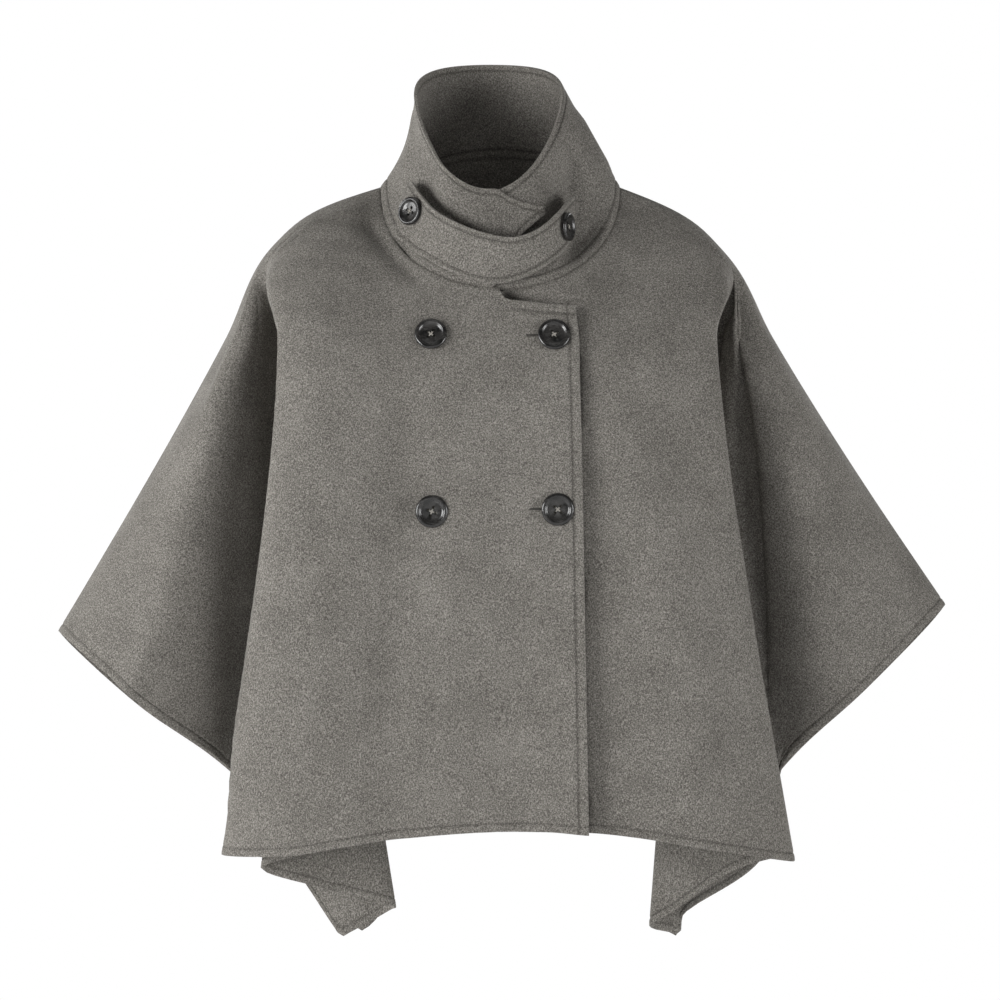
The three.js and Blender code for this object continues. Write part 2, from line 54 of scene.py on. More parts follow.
# Lines of cloth from the neck to the hem: degrees round the neck and the shoulder, then places on the cloth
lineColumns = ["name", "neck", "shoulder", "bustX", "bustY", "bustZ", "hemX", "hemY", "hemZ"]
frontLines = [dict(zip(lineColumns, row)) for row in [
    ["right tip", -90, -90, -244, 0, -134, -399, 0, -399],
    ["right cuff end", -89.4, -89, -240, -20, -134, -385, -24, -405],
    ["right cuff upper", -88.6, -87.6, -231, -40, -134, -323, -62, -452],
    ["right cuff middle", -87.6, -86, -216, -36, -134, -241, -24, -524],
    ["right cuff lower", -86.6, -84.4, -202, -28, -134, -176, -18, -628],
    ["right corner outer", -86, -83.4, -194, -25, -134, -150, -20, -667],
    ["right corner", -85.6, -82.8, -190, -24, -134, -143, -22, -675],
    ["right corner inner", -85.2, -82.1, -187, -24.5, -134, -134, -24, -670],
    ["right inner fold back", -84.4, -81, -183, -26, -134, -99, -30, -649],
    ["right inner fold", -83.2, -79.2, -179, -33, -133, -94, -42, -643],
    ["right pleat lower", -82, -77.4, -177, -41, -133, -160, -56, -622],
    ["right pleat fold", -80.8, -75.8, -176, -50, -132, -212, -66, -602],
    ["right pleat return", -79.6, -74.4, -175, -62, -131, -146, -76, -580],
    ["right front fold back", -78, -73, -177, -75, -130, -235, -82, -582],
    ["right front fold", -76, -71, -184, -86, -130, -243, -100, -582],
    ["right side front", -66, -47, -152, -110, -143, -179, -142, -573],
    ["right front", -52, -29, -112, -123, -158, -134, -150, -564],
    ["under edge", -34, -15, -68, -126, -168, -74, -150, -555],
    ["centre front", 0, 0, 0, -128, -172, 3, -150, -550],
    ["placket edge", 34, 15, 68, -126, -168, 76, -152, -551],
    ["left front", 52, 29, 112, -122, -158, 127, -151, -557],
    ["left side front", 66, 47, 153, -108, -143, 200, -142, -571],
    ["left front fold", 76, 71, 186, -86, -130, 258, -104, -587],
    ["left front fold back", 78, 73, 180, -75, -130, 251, -84, -587],
    ["left pleat upper", 79.8, 75, 178, -62, -131, 206, -70, -604],
    ["left pleat lower", 81.4, 77, 179, -48, -132, 156, -56, -643],
    ["left inner fold", 83, 79.2, 182, -34, -133, 136, -44, -659],
    ["left inner fold back", 84.4, 81, 186, -25, -134, 141, -31, -667],
    ["left corner inner", 85.1, 82, 189, -24, -134, 151, -28, -669],
    ["left corner", 85.5, 82.6, 191, -25, -134, 161, -27, -673],
    ["left corner outer", 85.9, 83.2, 194, -29, -134, 165, -28, -655],
    ["left cuff lower", 86.4, 84, 198, -35, -134, 175, -31, -645],
    ["left cuff lower middle", 87.2, 85.4, 204, -43, -134, 236, -40, -598],
    ["left cuff middle", 88, 86.6, 214, -47, -134, 259, -46, -508],
    ["left cuff upper", 88.8, 87.8, 230, -36, -134, 328, -50, -440],
    ["left cuff end", 89.4, 89, 240, -18, -134, 388, -18, -385],
    ["left tip", 90, 90, 243, 0, -134, 402, 0, -375],
]]
backLines = [dict(zip(lineColumns, row)) for row in [
    ["left tip", 90, 90, 243, 0, -134, 402, 0, -375],
    ["left cuff end", 91, 91.5, 240, 15, -134, 392, 14, -393],
    ["left cuff upper", 92.4, 93.5, 230, 32, -134, 337, 40, -459],
    ["left cuff middle", 94, 96, 217, 40, -134, 265, 34, -526],
    ["left corner outer", 95.8, 98.6, 205, 38, -134, 165, 28, -663],
    ["left corner", 96.5, 99.5, 201, 36, -134, 159, 27, -678],
    ["left inner fold back", 98.5, 102.5, 195, 36, -134, 148, 34, -664],
    ["left inner fold", 100.5, 105, 189, 42, -134, 146, 46, -650],
    ["left pleat", 103, 108, 185, 52, -133, 172, 58, -614],
    ["left back fold inner", 105.5, 111, 182, 64, -132, 232, 68, -588],
    ["left back fold", 109, 115, 182, 77, -132, 240, 88, -583],
    ["left side back", 122, 131, 150, 98, -138, 186, 128, -568],
    ["left back", 146, 154, 80, 111, -146, 98, 146, -560],
    ["centre back", 180, 180, 0, 114, -148, 0, 150, -556],
    ["right back", 214, 206, -80, 111, -146, -98, 147, -561],
    ["right side back", 238, 229, -150, 98, -138, -184, 130, -570],
    ["right back fold", 251, 245, -182, 77, -132, -230, 88, -581],
    ["right back fold inner", 254.5, 249, -182, 64, -132, -222, 68, -585],
    ["right pleat", 257, 252, -185, 52, -133, -150, 58, -612],
    ["right inner fold", 259.5, 255, -189, 42, -134, -108, 46, -650],
    ["right inner fold back", 261.5, 257.5, -195, 36, -134, -108, 34, -664],
    ["right corner", 263.5, 260.5, -201, 36, -134, -129, 27, -683],
    ["right corner outer", 264.2, 261.4, -205, 38, -134, -138, 28, -671],
    ["right cuff middle", 266, 264, -217, 40, -134, -244, 34, -539],
    ["right cuff upper", 267.6, 266.5, -230, 32, -134, -333, 40, -474],
    ["right cuff end", 269, 268.5, -240, 15, -134, -389, 14, -415],
    ["right tip", 270, 270, -244, 0, -134, -399, 0, -399],
]]


def smoothStep(low, high, value):
    share = np.clip((value - low) / (high - low), 0, 1)
    return share * share * (3 - 2 * share)


def unit(vectors):
    return vectors / np.linalg.norm(vectors, axis=-1, keepdims=True)


def stepLengths(points):
    return np.linalg.norm(np.diff(points, axis=0), axis=1)


def runningSum(steps):
    return np.concatenate([[0], np.cumsum(steps)])


# A smooth curve through values at uneven knots; three-dimensional values hold one curve for each place
class SmoothCurve:
    def __init__(self, knots, values):
        self.knots = np.array(knots, float)
        self.values = np.array(values, float)
        widths = np.diff(self.knots).reshape((-1,) + (1,) * (self.values.ndim - 1))
        chords = np.diff(self.values, axis=0) / widths
        inner = (chords[:-1] * widths[1:] + chords[1:] * widths[:-1]) / (widths[:-1] + widths[1:])
        ends = [1.5 * chords[:1] - 0.5 * inner[:1], 1.5 * chords[-1:] - 0.5 * inner[-1:]]
        self.slopes = np.concatenate([ends[0], inner, ends[1]])

    def at(self, places):
        places = np.asarray(places, float)
        span = np.clip(np.searchsorted(self.knots, places) - 1, 0, len(self.knots) - 2)
        width = self.knots[span + 1] - self.knots[span]
        u = ((places - self.knots[span]) / width)[:, None]
        width = width[:, None]
        each = (np.arange(len(places)),) if self.values.ndim == 3 else ()
        before, after = (span,) + each, (span + 1,) + each
        start, end = (1 + 2 * u) * (1 - u) ** 2, u * u * (3 - 2 * u)
        slopes = self.slopes[before] * u * (1 - u) ** 2 + self.slopes[after] * u * u * (u - 1)
        return self.values[before] * start + self.values[after] * end + slopes * width


def ringPoint(ring, degrees, squareness=1):
    across, along = np.sin(np.radians(degrees)), np.cos(np.radians(degrees))
    full = [np.sign(value) * np.abs(value) ** squareness for value in (across, along)]
    x = ring["middle"] + ring["side"] * full[0]
    y = ring["centre"] - np.where(along > 0, ring["front"], ring["back"]) * full[1]
    drop = along * (1 + ring["frontBow"] - ring["frontBow"] * along)
    rise = -along * (1 + ring["backBow"] + ring["backBow"] * along)
    z = ring["level"] + np.where(along > 0, -ring["frontDrop"] * drop, ring["backRise"] * rise)
    return np.stack([x, y, z], -1)


def neckPoint(degrees):
    return ringPoint(neckRing, degrees)


def shoulderPoint(degrees):
    points = ringPoint(shoulderRing, degrees, yoke["squareness"])
    points[:, 2] -= yoke["tilt"] * np.sin(np.radians(degrees))
    return points


def yokePoint(neckDegrees, shoulderDegrees):
    neck = neckPoint(neckDegrees)
    points = neck + (shoulderPoint(shoulderDegrees) - neck) * yoke["share"]
    points[:, 2] += yoke["rise"] * np.sin(np.radians(shoulderDegrees)) ** yoke["sharpness"]
    return points


# Half of the body: across runs along the lines' knots, down from 0 at the neck to 1 at the hem
class Half:
    def __init__(self, lines):
        hem = np.array([[line["hemX"], line["hemY"], line["hemZ"]] for line in lines], float)
        bust = [[line["bustX"], line["bustY"], line["bustZ"]] for line in lines]
        self.knots = runningSum(np.sqrt(stepLengths(hem)))
        self.end = self.knots[-1]
        self.names = [line["name"] for line in lines]
        self.angles = SmoothCurve(self.knots, [[line["neck"], line["shoulder"]] for line in lines])
        self.bust = SmoothCurve(self.knots, bust)
        self.hem = SmoothCurve(self.knots, hem)

    def knotOf(self, name):
        return self.knots[self.names.index(name)]

    def neckAngle(self, across):
        return self.angles.at(across)[:, 0]

    def point(self, across, down):
        neck, shoulder = self.angles.at(across).T
        rings = [neckPoint(neck), yokePoint(neck, shoulder), shoulderPoint(shoulder)]
        return SmoothCurve(downKnots, rings + [self.bust.at(across), self.hem.at(across)]).at(down)

    # The cloth over a small step across and a small step down, and the two steps
    def spans(self, across, down, downStep):
        step = 0.002 * self.end
        sides = [np.clip(across - step, 0, self.end), np.clip(across + step, 0, self.end)]
        ends = [np.clip(down - downStep, 0, 1), np.clip(down + downStep, 0, 1)]
        round = self.point(sides[1], down) - self.point(sides[0], down)
        along = self.point(across, ends[1]) - self.point(across, ends[0])
        return round, along, sides[1] - sides[0], ends[1] - ends[0]

    # Unit directions along the line down and outwards through the cloth
    def directions(self, across, down):
        round, along, _, _ = self.spans(across, down, 0.002)
        along = unit(along)
        return along, unit(np.cross(along, round))

    # Millimetres of cloth for one unit of across, and for one unit of down
    def scales(self, across, down):
        round, along, stepAcross, stepDown = self.spans(across, down, 0.004)
        return np.linalg.norm(round, axis=1) / stepAcross, np.linalg.norm(along, axis=1) / stepDown


front = Half(frontLines)
back = Half(backLines)

# The collar's form, with the heights of its edges as shares of the full height
collar = {
    "wall": 3, "hollow": 10, "stitchIn": 5.5, "seamStitch": 8.5, "rowStep": 3.2, "tall": 90,
    "flapLift": 4.5, "first": -12, "last": 391, "flapStart": 366, "pinch": 11,
    "edges": SmoothCurve([-12, 6, 24, 180, 336, 356, 366, 374, 382, 391], [
        [0, 0.92], [0, 0.99], [0, 1], [0, 1], [0, 1], [0, 1], [0.26, 0.99], [0.475, 0.87], [0.535, 0.75],
        [0.56, 0.635]]),
}
layers = {"bodyWall": 2.5, "lift": 3.8, "seamGap": 0.3, "seamMeet": -0.2, "riseStart": -52, "riseEnd": -34,
          "topEdgeDrop": 0.088}


def collarPoint(degrees, height):
    low, high = neckPoint(degrees), ringPoint(collarRing, degrees)
    points = low + (high - low) * height[:, None]
    rightSide = np.maximum(0, -np.sin(np.radians(degrees)))
    points[:, 0] += collar["hollow"] * 4 * height * (1 - height) * rightSide
    return points


def collarNormal(degrees, height):
    round = collarPoint(degrees + 0.5, height) - collarPoint(degrees - 0.5, height)
    up = collarPoint(degrees, height + 0.01) - collarPoint(degrees, height - 0.01)
    return unit(np.cross(round, up))


# Low and high edge of the collar at an angle, as shares of its height
def collarEdges(angle):
    return np.clip(collar["edges"].at(angle).T, 0, 1)


# The direction that collar and body share through their thickness at the neck seam
def neckNormal(degrees):
    round = neckPoint(degrees + 0.5) - neckPoint(degrees - 0.5)
    out = shoulderPoint(degrees) - neckPoint(degrees)
    return unit(unit(np.cross(out, round)) + collarNormal(degrees, np.zeros_like(degrees)))


def topLayerRise(neckDegrees):
    return smoothStep(layers["riseStart"], layers["riseEnd"], neckDegrees)


# Nearness to a smooth path through a few points, from 1 on it to 0 away from it, fading at both ends
def nearPath(places, path, width):
    path = np.array(path, float)
    steps = runningSum(stepLengths(path))
    along = np.linspace(0, 1, 40)
    line = SmoothCurve(steps / steps[-1], path).at(along)
    distance = np.linalg.norm(places[:, None, :] - line[None, :, :], axis=2)
    nearest = distance.argmin(axis=1)
    strength = smoothStep(0, 0.25, along[nearest]) * (1 - smoothStep(0.75, 1, along[nearest]))
    return strength * np.exp(-(distance.min(axis=1) / width) ** 2)


# A soft fold: its width, how deep it goes in and its path, and the lines it ends or starts at, if any
def fold(width, depth, *path, upTo=None, startsAt=None):
    return {"width": width, "depth": depth, "path": path, "upTo": upTo, "startsAt": startsAt}


# Folds of the front and back, by x and z as seen from the front
frontFolds = [
    fold(21, 9, (-68, -130), (-74, -190), (-84, -350), (-92, -480), (-96, -620)),
    fold(46, -16, (-154, 80), (-164, -60), (-168, -100), (-172, -235), (-187, -375), (-201, -480),
         (-220, -620)),
    fold(10, 7, (-128, -20), (-114, -34), (-92, -56), (-56, -88)),
    fold(22, -2.5, (-140, -50), (-128, -85), (-114, -125)),
    fold(16, 3, (84, -130), (88, -260), (94, -420), (98, -620)),
    fold(24, -4.5, (80, -120), (96, -180), (141, -326), (158, -480), (164, -640)),
    fold(18, 1.5, (150, -160), (178, -300), (196, -450), (210, -640)),
    fold(11, 4, (104, -50), (94, -62), (78, -84)),
    fold(32, 2.4, (14, -120), (8, -260), (4, -420), (-4, -620)),
    fold(7, 2.2, (-366, -458), (-346, -428), (-324, -396)),
    fold(7, -1.8, (-350, -470), (-330, -440), (-308, -408)),
    fold(8, 2, (-334, -482), (-312, -450), (-290, -418)),
    fold(30, 27, (-174, 60), (-178, -60), (-182, -235), (-198, -375), (-212, -480), (-230, -620),
         upTo="right pleat lower"),
    fold(24, -6.5, (-222, 40), (-231, -130), (-244, -235), (-252, -305), (-259, -375), (-266, -450),
         (-276, -560)),
    fold(26, 19, (194, 60), (197, -60), (201, -130), (212, -235), (226, -375), (240, -480),
         (256, -620), startsAt="left pleat lower"),
    fold(26, 2, (-300, -200), (-312, -290), (-322, -380), (-326, -500)),
    fold(26, 2.4, (300, -200), (314, -290), (324, -380), (330, -500)),
]
backFolds = [
    fold(20, 5, (-70, -110), (-88, -260), (-96, -420), (-100, -600)),
    fold(26, -4, (-120, -130), (-140, -300), (-150, -460), (-158, -600)),
    fold(24, 4, (30, -90), (24, -250), (34, -420), (40, -600)),
    fold(24, -3, (-18, -100), (-22, -270), (-30, -430), (-34, -600)),
    fold(20, 4.5, (96, -100), (110, -270), (122, -430), (128, -600)),
    fold(24, -3.5, (140, -120), (152, -280), (166, -440), (176, -600)),
    fold(12, 2.5, (-66, 0), (-30, -22), (20, -24), (62, -4)),
    fold(16, 2.2, (320, -300), (306, -370), (286, -440)),
    fold(17, 2.2, (-330, -310), (-312, -380), (-290, -450)),
    fold(20, -2, (-280, -260), (-274, -350), (-262, -440)),
]
# Long shallow unevenness of hanging wool: wavelengths across and down, size and phase
waves = [(148, 420, 0.7, 0.4), (96, 260, 0.4, 1.9), (61, 190, 0.22, 4.1), (37, 90, 0.1, 2.6)]


# How far the cloth stands out at its places, with its folds and its unevenness
def foldRelief(half, folds, across, points, out):
    places = points[:, [0, 2]]
    facing = smoothStep(0.35, 0.75, np.abs(out[:, 1]))
    depth = 0
    for each in folds:
        share = nearPath(places, each["path"], each["width"])
        if each["upTo"]:
            share = share * smoothStep(0, 4, half.knotOf(each["upTo"]) - across)
        if each["startsAt"]:
            share = share * smoothStep(0, 4, across - half.knotOf(each["startsAt"]))
        depth = depth + each["depth"] * share
    x, z = 2 * np.pi * points[:, 0], 2 * np.pi * points[:, 2]
    uneven = sum(size * np.sin(x / wide + phase + np.sin(z / tall)) for wide, tall, size, phase in waves)
    return -depth * facing + uneven


# The wall's share of its full thickness near a stitched edge: swollen at the rim, drawn in at the stitches
def sewnWall(distance, stitchIn):
    groove = np.exp(-((distance - stitchIn) / 1.1) ** 2)
    rim = smoothStep(0, 1.6, distance) * (1 - smoothStep(stitchIn - 1.5, stitchIn, distance))
    edge = 1 - smoothStep(0, 1.4, distance)
    return 1 + 0.12 * rim - 0.42 * groove - 0.12 * edge


# Painted shade in the groove of a topstitch: how much darker the cloth is painted there, from 0 to 1
def paintedStitchShade(distance, stitchIn):
    return 0.6 * np.exp(-((distance - stitchIn) / 1.2) ** 2)


def addObject(name, data):
    added = bpy.data.objects.new(name, data)
    bpy.context.scene.collection.objects.link(added)
    return added


# Faces smooth, and the shape made an object
def meshObject(name, shape):
    for face in shape.faces:
        face.smooth = True
    mesh = bpy.data.meshes.new(name)
    shape.to_mesh(mesh)
    shape.free()
    return addObject(name, mesh)


def roundEdges(piece, width):
    rim = piece.modifiers.new("rim", "BEVEL")
    rim.width = width * mm
    rim.segments = 2
    rim.limit_method = "ANGLE"
    rim.angle_limit = math.radians(50)


# A cloth's wall group holds shares from 0 to 1 of a wall "reserve" times as thick, so a rim can swell
clothWall = {"reserve": 1.25, "rim": 0.8}


# A piece of cloth from a grid: placeOf gives each crossing's point, share of the wall, painted shade and
# flat place
def clothPiece(name, columns, rows, placeOf, wall):
    cloth = bmesh.new()
    bmesh.ops.create_grid(cloth, x_segments=columns - 1, y_segments=rows - 1, size=1)
    flat = np.array([vert.co[:2] for vert in cloth.verts])
    i = np.rint((flat[:, 0] + 1) / 2 * (columns - 1)).astype(int)
    j = np.rint((1 - flat[:, 1]) / 2 * (rows - 1)).astype(int)
    points, shares, shades, spread = placeOf(i, j)
    wallGroup = cloth.verts.layers.deform.verify()
    for vert, point, share in zip(cloth.verts, points * mm, shares):
        vert.co = point
        vert[wallGroup][0] = float(share) / clothWall["reserve"]
    spreadLayer = cloth.loops.layers.uv.new("cut")
    # The "shade" map carries painted shade for stitch grooves and seams
    shadeLayer = cloth.loops.layers.uv.new("shade")
    cloth.verts.index_update()
    for face in cloth.faces:
        for loop in face.loops:
            loop[spreadLayer].uv = spread[loop.vert.index] * mm
            loop[shadeLayer].uv = (shades[loop.vert.index], 0)
    piece = meshObject(name, cloth)
    piece.vertex_groups.new(name="wall")
    solid = piece.modifiers.new("wall", "SOLIDIFY")
    solid.thickness = wall * clothWall["reserve"] * mm
    solid.offset = 0
    solid.use_quality_normals = True
    solid.vertex_group = "wall"
    solid.thickness_vertex_group = 0
    roundEdges(piece, clothWall["rim"])
    piece.data.materials.append(wool)
    finishMesh(piece)
    return placePiece(piece)


# Every piece rides on the coat's one body
def placePiece(piece):
    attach(piece, "root")
    return piece


# The piece's modifiers made part of its mesh
def finishMesh(piece):
    bpy.context.view_layer.update()
    made = bpy.data.meshes.new_from_object(piece.evaluated_get(bpy.context.evaluated_depsgraph_get()))
    piece.modifiers.clear()
    piece.data = made


# Stitches along a line of points on the cloth, each a short thread sunk into the wool
stitch = {"length": 3.3, "pitch": 4.3, "width": 0.62, "height": 0.42, "sunk": 0.05}


# Where the stitches of a line go: each one's centre with its three half axes, which are right-handed
def stitchesAlong(points, out, sizes=stitch):
    steps = runningSum(stepLengths(points))
    count = max(int(steps[-1] / sizes["pitch"]), 1)
    places = (np.arange(count) + 0.5) * steps[-1] / count

    def along(values, shift=0.0):
        return np.stack([np.interp(places + shift, steps, values[:, k]) for k in range(3)], -1)

    ahead = unit(along(points, 0.4) - along(points, -0.4))
    side = unit(np.cross(along(out), ahead))
    up = np.cross(ahead, side)
    return np.stack([along(points), ahead * sizes["length"] / 2, side * sizes["width"] / 2,
                     up * sizes["height"] / 2], 1)


# Stitches on the faces of a cloth, from what its place function gives
def sewThrough(placed, wall, sides=(1, -1)):
    points, out, shares, _ = placed
    away = out * (shares[:, None] * wall / 2 - stitch["sunk"])
    return [stitchesAlong(points + away * side, out * side) for side in sides]


def stitchPiece(name, lines):
    one = bmesh.new()
    bmesh.ops.create_uvsphere(one, u_segments=6, v_segments=4, radius=1)
    shape = bpy.data.meshes.new("oneStitch")
    one.to_mesh(shape)
    corners = np.array([vert.co for vert in one.verts])
    one.free()
    frames = np.concatenate(lines)
    sewing = bmesh.new()
    for _ in frames:
        sewing.from_mesh(shape)
    placed = frames[:, :1] + np.einsum("vk,skx->svx", corners, frames[:, 1:])
    for vert, point in zip(sewing.verts, placed.reshape(-1, 3) * mm):
        vert.co = point
    bpy.data.meshes.remove(shape)
    return meshPiece(name, sewing, thread)


def meshPiece(name, shape, material):
    piece = meshObject(name, shape)
    piece.data.materials.append(material)
    return placePiece(piece)


# Shader values as Python expressions
class Value:
    def __init__(self, tree, socket):
        self.tree = tree
        self.socket = socket

    def maths(self, operation, *others):
        node = self.tree.nodes.new("ShaderNodeMath")
        node.operation = operation
        for slotIn, value in zip(node.inputs, (self, *others)):
            if isinstance(value, Value):
                self.tree.links.new(value.socket, slotIn)
            else:
                slotIn.default_value = value
        return Value(self.tree, node.outputs[0])

    def __add__(self, other):
        return self.maths("ADD", other)

    def __sub__(self, other):
        return self.maths("SUBTRACT", other)

    def __mul__(self, other):
        return self.maths("MULTIPLY", other)

    def __rsub__(self, other):
        return (self * -1) + other

    __radd__ = __add__
    __rmul__ = __mul__


# One way to make nodes, for materials and for the sky
class Nodes:
    def __init__(self, tree):
        self.tree = tree

    # The output of a node that is there from the start
    def ready(self, name):
        return Value(self.tree, self.tree.nodes[name].outputs[0])

    def node(self, kind, settings=None, output=0, **sockets):
        made = self.tree.nodes.new("ShaderNode" + kind)
        for key, value in (settings or {}).items():
            if key == "stops":
                for stop, (place, colour) in zip(made.color_ramp.elements, value):
                    stop.position, stop.color = place, colour
                for place, colour in value[2:]:
                    made.color_ramp.elements.new(place).color = colour
            else:
                setattr(made, key, value)
        for key, value in sockets.items():
            socket = made.inputs[int(key[1:])] if key[1:].isdigit() else made.inputs[key.replace("_", " ")]
            if isinstance(value, Value):
                self.tree.links.new(value.socket, socket)
            else:
                socket.default_value = value
        return Value(self.tree, made.outputs[output])

    # The camera sees white, and everything else sees the shader
    def whiteToCamera(self, shader, white, end):
        seen = self.node("MixShader", i0=self.node("LightPath"), i1=shader, i2=white)
        self.tree.links.new(seen.socket, self.tree.nodes[end].inputs["Surface"])


class Finish(Nodes):
    def __init__(self, name):
        self.material = bpy.data.materials.new(name)
        self.material.use_nodes = True
        super().__init__(self.material.node_tree)
        self.shader = self.tree.nodes["Principled BSDF"]

    def give(self, socket, value):
        if isinstance(value, Value):
            self.tree.links.new(value.socket, self.shader.inputs[socket])
        else:
            self.shader.inputs[socket].default_value = value


def noise(finish, place, scale, detail=2, roughness=0.5):
    return finish.node("TexNoise", {"noise_dimensions": "3D"}, Vector=place, Scale=scale, Detail=detail,
                       Roughness=roughness)


# Melange wool: fine pale and dark fibres on a warm grey ground, brushed flat; "seam" is the tint by which
# painted shade darkens stitch grooves and seams
woolLook = {
    "dark": (0.068, 0.063, 0.056, 1), "ground": (0.156, 0.147, 0.132, 1), "pale": (0.330, 0.313, 0.286, 1),
    "seam": (0.30, 0.29, 0.28, 1), "fleckScale": 900, "fibreScale": 1900, "cloudScale": 26, "bump": 0.4,
    "roughness": 0.92, "napScale": (1900, 480, 1), "sheen": (0.86, 0.84, 0.8, 1),
}


def woolFinish():
    wool = Finish("melangeWool")
    place = wool.node("TexCoord", output=3)
    fleck = noise(wool, place, woolLook["fleckScale"], 1.5, 0.55)
    fibre = noise(wool, place, woolLook["fibreScale"], 2, 0.6)
    cloud = noise(wool, place, woolLook["cloudScale"], 3, 0.55)
    cut = wool.node("UVMap", {"uv_map": "cut"})
    brushed = wool.node("Mapping", Vector=cut, Scale=woolLook["napScale"])
    nap = noise(wool, brushed, 1, 2, 0.5)
    tone = fleck * 0.6 + fibre * 0.26 + nap * 0.36 + cloud * 0.12 - 0.17
    colour = wool.node("ValToRGB", {"stops": [(0.36, woolLook["dark"]), (0.66, woolLook["pale"]),
                                              (0.5, woolLook["ground"])]}, Fac=tone)
    # Painted shade: the "shade" UV map darkens the wool in stitch grooves and along seams, where shade
    # would fall
    shade = wool.node("SeparateXYZ", Vector=wool.node("UVMap", {"uv_map": "shade"}))
    sewn = wool.node("Mix", {"data_type": "RGBA", "blend_type": "MULTIPLY"}, 2, i0=shade, i6=colour,
                     i7=woolLook["seam"])
    wool.give("Base Color", sewn)
    wool.give("Roughness", woolLook["roughness"])
    wool.give("Specular IOR Level", 0.12)
    wool.give("Sheen Weight", 0.12)
    wool.give("Sheen Roughness", 0.45)
    wool.give("Sheen Tint", woolLook["sheen"])
    height = fleck * 0.55 + nap * 0.35 + fibre * 0.25
    wool.give("Normal", wool.node("Bump", Strength=woolLook["bump"], Distance=0.0006, Height=height))
    return wool.material


# Polished horn: charcoal with soft smoky streaks
hornLook = {"dark": (0.006, 0.0058, 0.0055, 1), "smoke": (0.042, 0.040, 0.038, 1), "roughness": 0.2,
            "streaks": (70, 260, 150), "streaksTurned": (0.3, 0.5, 0.9), "grainScale": 1400}


def hornFinish():
    horn = Finish("smokyHorn")
    place = horn.node("TexCoord", output=3)
    stretched = horn.node("Mapping", Vector=place, Rotation=hornLook["streaksTurned"],
                          Scale=hornLook["streaks"])
    swirl = noise(horn, stretched, 1, 4, 0.6)
    grain = noise(horn, place, hornLook["grainScale"], 2, 0.5)
    colour = horn.node("ValToRGB", {"stops": [(0.42, hornLook["dark"]), (0.72, hornLook["smoke"])]},
                       Fac=swirl + grain * 0.08)
    horn.give("Base Color", colour)
    horn.give("Roughness", swirl * 0.12 + hornLook["roughness"])
    horn.give("Coat Weight", 0.35)
    horn.give("Coat Roughness", 0.12)
    horn.give("Normal", horn.node("Bump", Strength=0.3, Distance=0.0004, Height=swirl))
    return horn.material


# Sewing thread, twisted and matt
def threadFinish(name, colour):
    thread = Finish(name)
    place = thread.node("TexCoord", output=3)
    twist = noise(thread, place, 2600, 2, 0.6)
    low = tuple(0.6 * part for part in colour) + (1,)
    stops = [(0.35, low), (0.65, (*colour, 1))]
    thread.give("Base Color", thread.node("ValToRGB", {"stops": stops}, Fac=twist))
    thread.give("Roughness", 0.8)
    thread.give("Normal", thread.node("Bump", Strength=0.4, Distance=0.0002, Height=twist))
    return thread.material


wool = woolFinish()
horn = hornFinish()
thread = threadFinish("topstitchThread", (0.062, 0.057, 0.051))
paleThread = threadFinish("buttonThread", (0.42, 0.40, 0.36))
print("materials made")

# The body's panels
body = {
    "columnStep": 5.5, "rowStep": 6.5, "stitchIn": 7.2, "placketStitch": 8.2,
    "edgeRows": [0, 0.8, 2, 3.6, 5, 6.2, 7.2, 8.2, 9.4, 11.5, 15, 20],
    "placketCurl": (1.5, 9), "curlWidth": 46, "topCurl": 3, "tuckUnder": 17, "tuckReach": 22,
    "rowsTall": 560, "flatTall": 600, "seamFade": 40, "topFade": 20,
}


# Places across a panel, close together at its two side edges
def panelColumns(half, start, end):
    fine = np.linspace(start, end, 4000)
    lengths = runningSum(0.65 * stepLengths(half.hem.at(fine)) + 0.35 * stepLengths(half.bust.at(fine)))
    rows = np.array(body["edgeRows"])
    middle = np.linspace(rows[-1], lengths[-1] - rows[-1], int(lengths[-1] / body["columnStep"]))[1:-1]
    wanted = np.concatenate([rows, middle, (lengths[-1] - rows)[::-1]])
    return np.interp(wanted, lengths, fine)


# Where a front's upper edge leaves the neck past the centre front, as a share of the way down
def topEdge(across, end):
    centre = front.knotOf("centre front")
    share = np.clip((across - centre) / (end - centre), 0, 1)
    return layers["topEdgeDrop"] * (0.3 * smoothStep(0, 0.06, share) + 0.7 * share)


